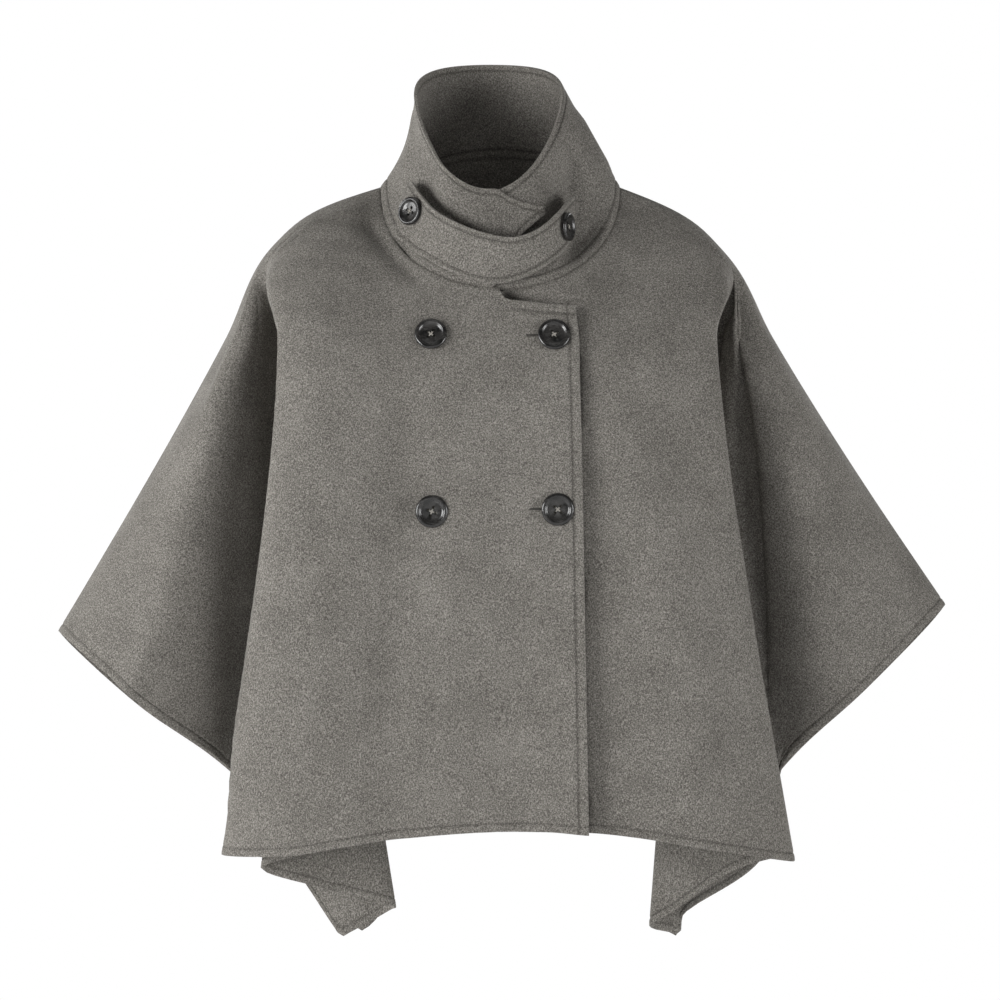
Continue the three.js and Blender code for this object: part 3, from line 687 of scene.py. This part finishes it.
# A panel between two lines: pastCentre is the end of its free upper edge, under the edge that lies over it
def bodyPanel(name, half, start, end, folds, placket=False, pastCentre=None, under=None):
    columns = panelColumns(half, start, end)
    centre = front.knotOf("centre front")

    def topOf(across):
        return np.zeros_like(across) if pastCentre is None else topEdge(across, pastCentre)

    # Middle of the cloth, outward direction, share of the wall and painted shade
    def place(across, down):
        top = topOf(across)
        along, out = half.directions(across, down)
        middle = half.point(across, down)
        wide, tall = half.scales(across, down)
        neck = half.neckAngle(across)
        near = smoothStep(0, 0.05, down)[:, None]
        shared = unit(neckNormal(neck) * (1 - near) + out * near)
        lift = topLayerRise(neck) * layers["lift"] * placket
        fromSeams = np.minimum(across, half.end - across) * wide
        fromHem = (1 - down) * tall
        fromTop = (down - top) * tall
        shares = sewnWall(fromHem, body["stitchIn"])
        # Painted shade in the hem's topstitch groove; the placket's grooves and the seams get the same
        # below
        shade = 0.65 * paintedStitchShade(fromHem, body["stitchIn"])
        relief = foldRelief(half, folds, across, middle, out) * smoothStep(0, body["seamFade"], fromSeams)
        relief *= smoothStep(0, body["topFade"], fromTop)
        if under is not None:
            above = (topEdge(across, under) - down) * tall
            overlapped = smoothStep(centre, centre + 0.2, across) * smoothStep(0, 0.6, under - across)
            tuck = 0.3 + 0.7 * np.exp(-np.maximum(0, across - centre) * wide / body["tuckReach"])
            tuck *= (1 - smoothStep(4, 16, above)) * smoothStep(0, 2.5, fromTop)
            relief -= body["tuckUnder"] * tuck * overlapped
        if placket:
            fromEdge = (end - across) * wide
            pastNeck = smoothStep(8, 20, (across - centre) * wide)
            edgeIn = body["placketStitch"]
            shares = np.minimum.reduce([shares, sewnWall(fromEdge, edgeIn) + 0.02,
                                        1 + (sewnWall(fromTop, edgeIn) - 1) * pastNeck + 0.02])
            shade = np.maximum.reduce([shade, paintedStitchShade(fromEdge, edgeIn),
                                       paintedStitchShade(fromTop, edgeIn) * pastNeck])
            curl = np.interp(down, [0.08, 1], body["placketCurl"])
            relief += curl * (1 - smoothStep(0, body["curlWidth"], fromEdge)) ** 1.5
            relief += body["topCurl"] * (1 - smoothStep(0, 30, fromTop)) * pastNeck
        # Seams: the wall thins and sinks there, and the groove is darkened with painted shade
        seam = np.exp(-(fromSeams / 1.6) ** 2)
        shares = shares - 0.3 * seam
        neckSeam = np.exp(-(fromTop / 1.6) ** 2) * (down - top < 0.02) * (top <= 0)
        shade = np.maximum(shade, 0.55 * np.maximum(seam, neckSeam))
        middle[:, 1] += np.where(fromSeams < 0.01, layers["seamMeet"] * (1 if half is back else -1), 0)
        middle += along * (layers["seamMeet"] * (down <= 0))[:, None]
        return middle + shared * (lift + relief - 0.35 * seam)[:, None], out, shares, shade

    wideTop = half.scales(columns, topOf(columns))[1]
    wideHem = half.scales(columns, np.ones_like(columns))[1]
    edge = np.array(body["edgeRows"])
    count = int(body["rowsTall"] / body["rowStep"])
    starts = topOf(columns) + edge[-1] / wideTop
    ends = 1 - edge[-1] / wideHem
    middleRows = starts + (ends - starts) * np.linspace(0, 1, count)[1:-1, None]
    downs = np.concatenate([topOf(columns) + edge[:, None] / wideTop, middleRows,
                            1 - edge[::-1, None] / wideHem])

    def placeOf(i, j):
        across, down = columns[i], np.clip(downs[j, i], 0, 1)
        points, _, shares, shades = place(across, down)
        between = (columns[1:] + columns[:-1]) / 2
        widths = np.diff(columns) * half.scales(between, np.full_like(between, 0.7))[0]
        return points, shares, shades, np.stack([runningSum(widths)[i], down * body["flatTall"]], -1)

    piece = clothPiece(name, len(columns), len(downs), placeOf, layers["bodyWall"])

    lines = []

    def sew(across, down):
        lines.extend(sewThrough(place(across, down), layers["bodyWall"]))

    fine = np.linspace(columns[1], columns[-2], 900)
    sew(fine, 1 - body["stitchIn"] / half.scales(fine, np.ones_like(fine))[1])
    if placket:
        down = np.linspace(topOf(np.array([end]))[0] + 0.012, 0.99, 300)
        edgeAt = np.full(300, end)
        across = edgeAt - body["placketStitch"] / half.scales(edgeAt - 0.01, down)[0]
        sew(across, down)
        across = np.linspace(centre + 0.4, across[0], 60)
        sew(across, topOf(across) + body["placketStitch"] / half.scales(across, topOf(across))[1])
    return piece, stitchPiece(name + "Stitches", lines), place


placketEdge = front.knotOf("placket edge")
underEdge = front.knotOf("under edge")
frontRight, frontRightStitches, frontRightPlace = bodyPanel(
    "frontRightCloth", front, 0, placketEdge, frontFolds, placket=True, pastCentre=placketEdge)
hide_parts("front_right")
frontLeft, frontLeftStitches, _ = bodyPanel(
    "frontLeftCloth", front, underEdge, front.end, frontFolds, pastCentre=underEdge, under=placketEdge)
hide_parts("front_left")
backCloth, backStitches, _ = bodyPanel("backCloth", back, 0, back.end, backFolds)
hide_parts("back")
print("body panels sewn")

# Soft shaping of the collar, by degrees and share of the height
collarFolds = [
    fold(6, 5.5, (-72, 0.45), (-58, 0.53), (-45, 0.565), (-30, 0.57), (-15, 0.555), (0, 0.52),
         (14, 0.47), (26, 0.45)),
    fold(10, 4, (72, 0.78), (60, 0.5), (46, 0.25), (26, 0.1)),
    fold(7, 3, (-76, 0.3), (-66, 0.16), (-56, 0.08), (-44, 0.06)),
    fold(12, -2.5, (100, 0.8), (92, 0.45), (84, 0.12)),
    fold(12, 2, (150, 0.2), (180, 0.35), (215, 0.3)),
    fold(14, -2, (262, 0.85), (276, 0.5), (284, 0.2)),
]
collarScale = (1.55, 88)  # millimetres for a degree and for the whole height


# How far the collar and the strap are drawn in beside the strap's left button
def pinch(angle, height):
    angle = np.where(angle > 180, angle - 360, angle)
    beside = smoothStep(28, 48, angle) * (1 - smoothStep(56, 80, angle))
    return collar["pinch"] * beside * smoothStep(0, 0.18, height) * (1 - smoothStep(0.55, 0.95, height))


def collarPlace(angle, height):
    low, high = collarEdges(angle)
    out = collarNormal(angle, height)
    middle = collarPoint(angle, height)
    near = smoothStep(0, 0.12, height)[:, None]
    shared = unit(neckNormal(angle) * (1 - near) + out * near)
    lift = topLayerRise(angle - 360) * layers["lift"]
    rise = collarPoint(angle, np.ones_like(angle)) - collarPoint(angle, np.zeros_like(angle))
    tall = np.linalg.norm(rise, axis=1)
    wide = np.linalg.norm(collarPoint(angle + 0.5, height) - collarPoint(angle - 0.5, height), axis=1)
    fromTop = (high - height) * tall
    fromLow = (height - low) * tall
    fromEnd = np.minimum(angle - collar["first"], collar["last"] - angle) * wide
    free = smoothStep(0.02, 0.2, low)
    edgeIn, seamIn = collar["stitchIn"], collar["seamStitch"]
    shares = np.minimum.reduce([sewnWall(fromTop, edgeIn), sewnWall(fromEnd, edgeIn) + 0.01,
                                1 + (sewnWall(fromLow, edgeIn) - 1) * free,
                                1 + (sewnWall(fromLow, seamIn) - 1) * (1 - free)])
    places = np.stack([np.where(angle > 300, angle - 360, angle), height], -1) * collarScale
    relief = -sum(each["depth"] * nearPath(places, np.array(each["path"]) * collarScale, each["width"])
                  for each in collarFolds) * smoothStep(0, 14, fromTop)
    relief += collar["flapLift"] * smoothStep(368, collar["last"], angle) - pinch(angle, height)
    seam = np.exp(-((height * tall) / 1.6) ** 2)
    # Painted shade in the stitch grooves and along the neck seam
    shade = np.maximum.reduce([paintedStitchShade(fromTop, edgeIn), paintedStitchShade(fromEnd, edgeIn),
                               paintedStitchShade(fromLow, edgeIn) * free,
                               paintedStitchShade(fromLow, seamIn) * (1 - free), 0.55 * seam])
    middle += layers["seamMeet"] * np.where(height <= 0, 1, 0)[:, None] * np.array([0, 0, 1])
    return middle + shared * (lift + relief - 0.3 * seam)[:, None], out, shares - 0.25 * seam, shade


def makeCollar():
    edgeDegrees = np.array([0, 0.6, 1.5, 2.6, 3.6, 4.6, 5.6, 7, 9])
    first, last, inset = collar["first"], collar["last"], edgeDegrees[-1]
    angles = np.concatenate([first + edgeDegrees, np.linspace(first + inset, last - inset, 215)[1:-1],
                             (last - edgeDegrees)[::-1]])
    edge = np.array([0, 0.8, 2, 3.4, 4.6, 5.5, 6.4, 7.6, 8.6, 9.8, 12]) / collar["tall"]
    rows = int(85 / collar["rowStep"])
    spread = np.concatenate([edge, np.linspace(edge[-1], 1 - edge[-1], rows)[1:-1], 1 - edge[::-1]])
    low, high = collarEdges(angles)

    def placeOf(i, j):
        angle = angles[i]
        height = high[i] - (high[i] - low[i]) * spread[j]
        points, _, shares, shades = collarPlace(angle, height)
        return points, shares, shades, np.stack([angle * collarScale[0], height * collar["tall"]], -1)

    piece = clothPiece("collarCloth", len(angles), len(spread), placeOf, collar["wall"])
    lines = []

    def sew(angle, height):
        lines.extend(sewThrough(collarPlace(angle, height), collar["wall"]))

    # The rows along the upper edge, the neck seam, the flap's lower edge and the hidden end
    inward, seamIn = collar["stitchIn"] / 92, collar["seamStitch"] / 96
    start, end = collar["first"] + 4.2, collar["last"] - 4.4
    fine = np.linspace(start, end, 700)
    sew(fine, collarEdges(fine)[1] - inward)
    base = fine[fine < 356]
    sew(base, np.full_like(base, seamIn))
    flap = np.linspace(collar["flapStart"], end, 60)
    sew(flap, collar["edges"].at(flap)[:, 0] + inward)
    sew(np.full(60, start), np.linspace(0.1, 0.86, 60))
    return piece, stitchPiece("collarStitches", lines)


collarCloth, collarStitches = makeCollar()
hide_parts("collar")
print("collar sewn")

# The throat strap: degrees, its edges as shares of the collar's height, and its upper edge's stand-off
strap = {
    "wall": 2.9, "gap": 0.6, "stitchIn": 4.6, "fallStart": 31, "fallEnd": 48, "first": -64, "last": 54,
    "endLift": 3, "perDegree": 1.7, "tall": 36,
    "lines": SmoothCurve([-64, -61, -50, -35, -20, -5, 10, 22, 35, 45, 54], [
        [0.2, 0.42, 2], [0.1, 0.49, 4], [0.07, 0.53, 8], [0.09, 0.535, 12], [0.07, 0.535, 14],
        [0.035, 0.505, 13], [0.07, 0.45, 12], [0.135, 0.455, 13], [0.2, 0.5, 15], [0.27, 0.52, 16],
        [0.36, 0.49, 12]]),
}


def strapPoint(angle, share):
    low, high, standOff = strap["lines"].at(angle).T
    overFlap = topLayerRise(angle) * (1 - smoothStep(strap["fallStart"], strap["fallEnd"], angle))
    lift = overFlap * layers["lift"] + collar["wall"] / 2 + strap["gap"] + layers["bodyWall"] / 2
    lift = lift + strap["endLift"] * (1 - smoothStep(-60, -42, angle))
    lowLift, highLift = lift - pinch(angle, low), lift + standOff - pinch(angle, high)
    lower = collarPoint(angle, low) + collarNormal(angle, low) * lowLift[:, None]
    upper = collarPoint(angle, high) + collarNormal(angle, high) * highLift[:, None]
    return lower + (upper - lower) * share[:, None]


def strapPlace(angle, share):
    round = strapPoint(angle + 0.5, share) - strapPoint(angle - 0.5, share)
    up = strapPoint(angle, np.ones_like(share)) - strapPoint(angle, np.zeros_like(share))
    tall = np.linalg.norm(up, axis=1)
    wide = np.linalg.norm(round, axis=1)
    fromEdges = np.minimum(share, 1 - share) * tall
    fromEnds = np.minimum(angle - strap["first"], strap["last"] - angle) * wide
    stitchIn = strap["stitchIn"]
    shares = np.minimum(sewnWall(fromEdges, stitchIn), sewnWall(fromEnds, stitchIn) + 0.01)
    # Painted shade in the stitch grooves
    shade = np.maximum(paintedStitchShade(fromEdges, stitchIn), paintedStitchShade(fromEnds, stitchIn))
    return strapPoint(angle, share), unit(np.cross(round, up)), shares, shade


def makeStrap():
    edge = np.array([0, 0.5, 1.3, 2.3, 3.2, 4.2, 6])
    first, last = strap["first"], strap["last"]
    angles = np.concatenate([first + edge, np.linspace(first + 6, last - 6, 62)[1:-1], (last - edge)[::-1]])
    shares = np.concatenate([[0, 0.02, 0.05, 0.085, 0.115, 0.145, 0.19], np.linspace(0.19, 0.81, 9)[1:-1],
                             [0.81, 0.855, 0.885, 0.915, 0.95, 0.98, 1]])

    def placeOf(i, j):
        points, _, walls, shades = strapPlace(angles[i], 1 - shares[j])
        spread = np.stack([angles[i] * strap["perDegree"], shares[j] * strap["tall"]], -1)
        return points, walls, shades, spread

    piece = clothPiece("strapCloth", len(angles), len(shares), placeOf, strap["wall"])
    lines = []

    def sew(angle, share):
        lines.extend(sewThrough(strapPlace(angle, share), strap["wall"], sides=(1,)))

    fine = np.linspace(strap["first"] + 3, strap["last"] - 3, 300)
    rise = np.linspace(0.16, 0.84, 30)
    for share in (0.12, 0.88):
        sew(fine, np.full_like(fine, share))
    for angle in (strap["first"] + 2.8, strap["last"] - 2.8):
        sew(np.full_like(rise, angle), rise)
    return piece, stitchPiece("strapStitches", lines)


strapCloth, strapStitches = makeStrap()
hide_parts("collar_strap")
print("strap sewn")

# Buttons: half profile as shares of radius and thickness, from the back's middle over the rim to the dish
button = {
    "profile": [(0, 0), (0.7, 0), (0.86, 0.1), (0.97, 0.32), (1, 0.52), (0.985, 0.72), (0.94, 0.9),
                (0.88, 0.985), (0.82, 1), (0.77, 0.95), (0.73, 0.82), (0.68, 0.66), (0.58, 0.55),
                (0.3, 0.48), (0, 0.46)],
    "steps": 48, "holeSides": 14, "rim": 0.15, "strandShort": 0.6, "strandWide": 0.24, "strandTall": 0.4,
}
frontButton = {"radius": 14, "thickness": 4.2, "hole": 1.35, "spacing": 2.5}
strapButton = {"radius": 12.5, "thickness": 4, "hole": 1.25, "spacing": 2.3}


def buttonPiece(name, node, sizes, point, out, turn):
    disc = bmesh.new()
    radius, thickness = sizes["radius"] * mm, sizes["thickness"] * mm
    verts = [disc.verts.new((x * radius, 0, z * thickness)) for x, z in button["profile"]]
    edges = [disc.edges.new(pair) for pair in zip(verts, verts[1:])]
    bmesh.ops.spin(disc, geom=verts + edges, cent=(0, 0, 0), axis=(0, 0, 1), angle=2 * math.pi,
                   steps=button["steps"], use_merge=True)
    bmesh.ops.remove_doubles(disc, verts=disc.verts, dist=1e-6)
    bmesh.ops.recalc_face_normals(disc, faces=disc.faces)
    holes = bmesh.new()
    spacing, hole = sizes["spacing"] * mm, sizes["hole"] * mm
    for x, y in ((1, 1), (-1, 1), (-1, -1), (1, -1)):
        at = Matrix.Translation((x * spacing, y * spacing, 0))
        bmesh.ops.create_cone(holes, cap_ends=True, segments=button["holeSides"], radius1=hole,
                              radius2=hole, depth=20 * mm, matrix=at)
    piece = meshPiece(name, disc, horn)
    cutter = meshPiece(name + "Holes", holes, horn)
    cut = piece.modifiers.new("holes", "BOOLEAN")
    cut.object = cutter
    cut.solver = "EXACT"
    finishMesh(piece)
    bpy.data.objects.remove(cutter)
    up = Vector(out)
    side = (Vector((0, 0, 1)).cross(up) * -1).normalized()
    if side.x < 0:
        side = -side
    facing = Matrix((side, up.cross(side), up)).transposed().to_4x4()
    placed = Matrix.Translation(Vector(point) * mm) @ facing @ Matrix.Rotation(math.radians(turn), 4, "Z")
    piece.data.transform(placed)
    roundEdges(piece, button["rim"])
    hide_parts(node)
    # Thread crosses between the holes, three strands each way
    sewing = bmesh.new()
    reach = sizes["spacing"] * math.sqrt(2) - button["strandShort"]
    for angle in (45, 135):
        for strand in (-0.45, 0, 0.45):
            height = 0.5 * sizes["thickness"] + 0.2 + 0.1 * abs(strand)
            lay = (Matrix.Rotation(math.radians(angle + 3 * strand), 4, "Z")
                   @ Matrix.Translation((0, strand * mm, height * mm))
                   @ Matrix.Diagonal((reach * mm, button["strandWide"] * mm, button["strandTall"] * mm, 1)))
            bmesh.ops.create_uvsphere(sewing, u_segments=8, v_segments=10, radius=1, matrix=lay)
    bmesh.ops.transform(sewing, matrix=placed, verts=sewing.verts)
    meshPiece(name + "Thread", sewing, paleThread)


# The place across and down on the front where the cloth has the given x and z
def frontPlaceAt(x, z):
    across, down = np.array([front.knotOf("centre front")]), np.array([0.4])
    for _ in range(20):
        here = front.point(across, down)[0]
        byAcross = (front.point(across + 0.01, down)[0] - here) / 0.01
        byDown = (front.point(across, down + 0.001)[0] - here) / 0.001
        size = byAcross[0] * byDown[2] - byAcross[2] * byDown[0]
        missX, missZ = x - here[0], z - here[2]
        across = across + (missX * byDown[2] - missZ * byDown[0]) / size
        down = down + (missZ * byAcross[0] - missX * byAcross[2]) / size
    return across, down


holeStitch = {"length": 0.75, "pitch": 0.62, "width": 1.1, "height": 0.6}
buttonholes = []
buttons = [
    ("upperRight", -59, -128, 8), ("upperLeft", 46, -129, -12), ("lowerRight", -58, -275, 24),
    ("lowerLeft", 49, -273, 3),
]
for label, x, z, turn in buttons:
    across, down = frontPlaceAt(x, z)
    _, out = front.directions(across, down)
    points, _, shares, _ = frontRightPlace(across, down)
    base = points[0] + out[0] * (layers["bodyWall"] / 2 * shares[0] + layers["seamGap"])
    node = "button_" + label.replace("Right", "_right").replace("Left", "_left")
    buttonPiece(label + "Button", node, frontButton, base, out[0], turn)
    if x > 0:
        # A worked buttonhole shows beside the button: a slit between two rows of tight thread
        alongHole = np.linspace(-24, 8, 60)
        line = base + np.outer(alongHole, [1, 0, 0]) - out[0] * (layers["seamGap"] + 0.1)
        onCloth = frontPlaceAt(x - 20, z)
        far = frontRightPlace(*onCloth)[0][0] + out[0] * layers["bodyWall"] / 2
        line[:, 1] += np.interp(alongHole, [-20, 0], [far[1] - line[:, 1].mean(), 0])
        normals = np.repeat(out, 60, axis=0)
        for row in (-0.55, 0.55):
            buttonholes.append(stitchesAlong(line + np.array([0, 0, row]), normals, holeStitch))
stitchPiece("buttonholeThread", buttonholes)

for label, angle, share, turn in (("strapRight", -52, 0.6, 20), ("strapLeft", 38.5, 0.5, -20)):
    points, out, _, _ = strapPlace(np.array([float(angle)]), np.array([share]))
    base = points[0] + out[0] * (layers["bodyWall"] / 2 + 0.9)
    node = "strap_button_" + label.replace("strap", "").lower()
    buttonPiece(label + "Button", node, strapButton, base, out[0], turn)
print("buttons sewn on")

# Studio: a pale floor below, large soft lights at both sides and behind, weaker ones in front and above
studio = {
    "floorLevel": -1.35, "floorSize": 14, "floorColour": (0.8, 0.8, 0.8, 1), "sky": 0.08,
    "target": (0, 0, -0.28), "distance": 2.6, "elevation": 6, "lens": 104, "film": 36,
}
# Each light's place and width in metres, and its power in watts
lights = {
    "key": ((-2.5, -1.95, 0.1), 1.5, 82),
    "left": ((-3.0, -0.15, 0.1), 1.4, 36),
    "right": ((2.9, -1.6, -0.15), 1.6, 61),
    "front": ((0.3, -3.2, -0.5), 2.4, 11),
    "top": ((0, 0.2, 2.2), 2.2, 6),
    "rearLeft": ((-1.9, 2.6, 0.4), 1.6, 40),
    "rearRight": ((1.9, 2.6, 0.3), 1.6, 34),
}
floorShape = bmesh.new()
bmesh.ops.create_circle(floorShape, cap_ends=True, segments=96, radius=studio["floorSize"],
                        matrix=Matrix.Translation((0, 0, studio["floorLevel"])))
floor = meshObject("floor", floorShape)
pale = Finish("paleFloor")
pale.give("Base Color", studio["floorColour"])
pale.give("Roughness", 0.9)
pale.whiteToCamera(pale.ready("Principled BSDF"), pale.node("Emission"), "Material Output")
floor.data.materials.append(pale.material)


# Lights and camera look at the middle of the coat
def aimed(holder, place):
    holder.location = place
    holder.rotation_mode = "QUATERNION"
    holder.rotation_quaternion = (Vector(studio["target"]) - holder.location).to_track_quat("-Z", "Y")


for name, (place, width, power) in lights.items():
    lamp = bpy.data.lights.new(name, "AREA")
    lamp.energy = power
    lamp.size = width
    aimed(addObject(name, lamp), place)

world = bpy.data.worlds.new("studio")
bpy.context.scene.world = world
world.use_nodes = True
sky = Nodes(world.node_tree)
white = (1, 1, 1, 1)
glow = sky.node("Background", Color=white, Strength=studio["sky"])
sky.whiteToCamera(glow, sky.node("Background", Color=white), "World Output")
bpy.context.scene.view_settings.view_transform = "Standard"

camera = addObject("camera", bpy.data.cameras.new("camera"))
elevation = math.radians(studio["elevation"])
away = Vector((0, -math.cos(elevation), math.sin(elevation)))
aimed(camera, Vector(studio["target"]) + away * studio["distance"])
camera.data.lens = studio["lens"]
camera.data.sensor_width = studio["film"]
bpy.context.scene.camera = camera
print("studio set up")
